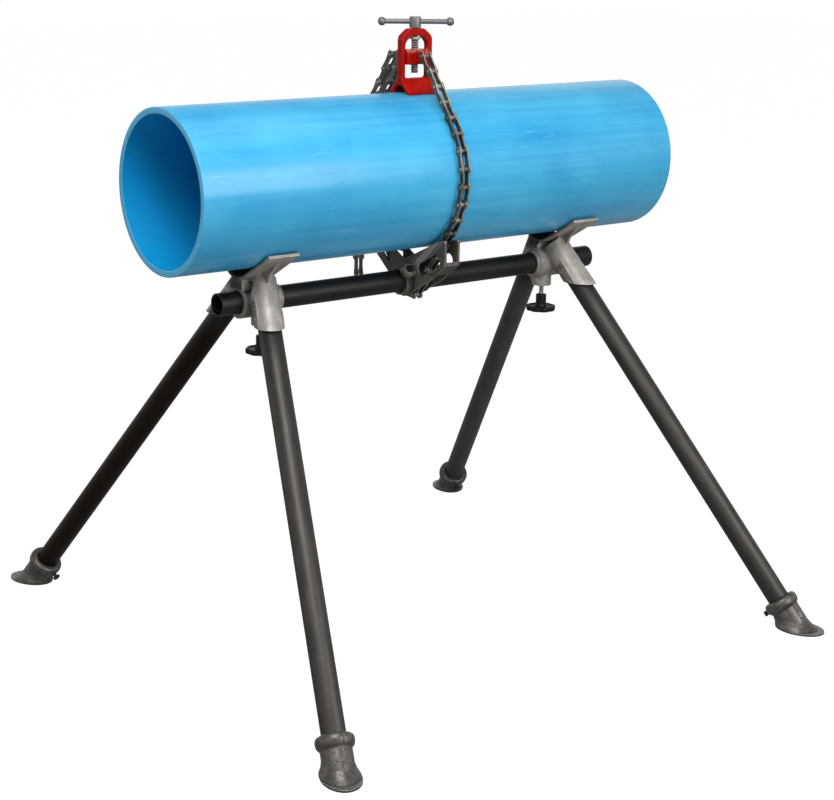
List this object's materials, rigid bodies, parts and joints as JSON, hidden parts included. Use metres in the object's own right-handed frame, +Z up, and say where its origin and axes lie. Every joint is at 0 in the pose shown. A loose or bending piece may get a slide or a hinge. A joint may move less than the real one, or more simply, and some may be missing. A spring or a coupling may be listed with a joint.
{
  "type": "tripod pipe vise stand",
  "caption": "Portable pipe stand: a rail with sliding V heads on splayed legs, and a screw-tensioned chain vise that clamps a large pipe.",
  "frame": {"origin": "on the floor, midway between the four feet, right under the middle of the stand", "axes": "+Z up, +X along the rail towards the end with the longer free tube, +Y to the rear, where the spare chain hangs"},
  "size_m": [1.3384, 1.382, 1.328],
  "materials": {
    "pipe_blue": "glossy extruded plastic, light blue",
    "tube_black": "black painted steel tube, soft sheen",
    "casting_silver": "silver-grey paint over a rough casting",
    "casting_grey": "bare grey casting with worn edges",
    "foot_iron": "dark pitted casting, blotchy",
    "screw_black": "blackened steel",
    "knob_black": "moulded black plastic",
    "stud_steel": "bright steel thread",
    "vise_red": "glossy red enamel, worn on the edges",
    "handle_zinc": "satin zinc plate",
    "chain_steel": "oiled dark steel with rubbed edges"
  },
  "bodies": {
    "rail": {"rail": "tube_black"},
    "pipe": {"work_pipe": "pipe_blue"},
    "left_trestle": {"head_left": "casting_silver", "legs_left": "tube_black", "feet_left": "foot_iron", "foot_screws_left": "screw_black"},
    "right_trestle": {"head_right": "casting_silver", "legs_right": "tube_black", "feet_right": "foot_iron", "foot_screws_right": "screw_black"},
    "left_stud": {"clamp_stud_left": "stud_steel"},
    "left_knob": {"clamp_knob_left": "knob_black"},
    "right_stud": {"clamp_stud_right": "stud_steel"},
    "right_knob": {"clamp_knob_right": "knob_black"},
    "vise": {"anchor_casting": "casting_grey", "anchor_screw": "screw_black", "nut_block": "vise_red", "chain_outer_links": "chain_steel", "chain_inner_links": "chain_steel", "tail_outer_links": "chain_steel", "tail_inner_links": "chain_steel"},
    "yoke": {"yoke": "vise_red"},
    "screw": {"spindle": "handle_zinc"},
    "handle": {"tee_bar": "handle_zinc", "tee_bar_ends": "handle_zinc"},
    "tail_upper": {"tail_strand_upper": "chain_steel"},
    "tail_lower": {"tail_strand_lower": "chain_steel"}
  },
  "joints": [
    {"name": "pipe_slide", "type": "slide", "parent": "rail", "child": "pipe", "axis": [1, 0, 0], "range_m": [-0.15, 0.15]},
    {"name": "left_trestle_slide", "type": "slide", "parent": "rail", "child": "left_trestle", "axis": [-1, 0, 0], "range_m": [-0.1, 0.05]},
    {"name": "right_trestle_slide", "type": "slide", "parent": "rail", "child": "right_trestle", "axis": [1, 0, 0], "range_m": [-0.1, 0.05]},
    {"name": "left_stud_travel", "type": "slide", "parent": "left_trestle", "child": "left_stud", "axis": [0, 0, -1], "range_m": [0, 0.0062]},
    {"name": "left_knob_turn", "type": "hinge", "parent": "left_stud", "child": "left_knob", "pos_m": [-0.386, 0, 0.6513], "axis": [0, 0, -1], "range_deg": [0, 1440]},
    {"name": "right_stud_travel", "type": "slide", "parent": "right_trestle", "child": "right_stud", "axis": [0, 0, -1], "range_m": [0, 0.0062]},
    {"name": "right_knob_turn", "type": "hinge", "parent": "right_stud", "child": "right_knob", "pos_m": [0.386, 0, 0.6513], "axis": [0, 0, -1], "range_deg": [0, 1440]},
    {"name": "vise_slide", "type": "slide", "parent": "rail", "child": "vise", "axis": [1, 0, 0], "range_m": [-0.19, 0.19]},
    {"name": "yoke_lift", "type": "slide", "parent": "vise", "child": "yoke", "axis": [0, 0, 1], "range_m": [0, 0.0122]},
    {"name": "screw_turn", "type": "hinge", "parent": "yoke", "child": "screw", "pos_m": [0.0045, 0, 1.3], "axis": [0, 0, 1], "range_deg": [0, 850]},
    {"name": "tee_bar_slide", "type": "slide", "parent": "screw", "child": "handle", "axis": [0.866, -0.5, 0], "range_m": [-0.054, 0.05]},
    {"name": "tail_upper_swing", "type": "hinge", "parent": "vise", "child": "tail_upper", "pos_m": [0.0045, 0.19925, 1.01004], "axis": [1, 0, 0], "range_deg": [0, 35]},
    {"name": "tail_lower_swing", "type": "hinge", "parent": "tail_upper", "child": "tail_lower", "pos_m": [0.0045, 0.1995, 0.89574], "axis": [1, 0, 0], "range_deg": [-12, 35]}
  ],
  "couplings": [
    {"joint": "yoke_lift", "follows": "screw_turn", "m_per_rad": 0.00080851},
    {"joint": "left_stud_travel", "follows": "left_knob_turn", "m_per_rad": 0.00023873},
    {"joint": "right_stud_travel", "follows": "right_knob_turn", "m_per_rad": 0.00023873}
  ]
}
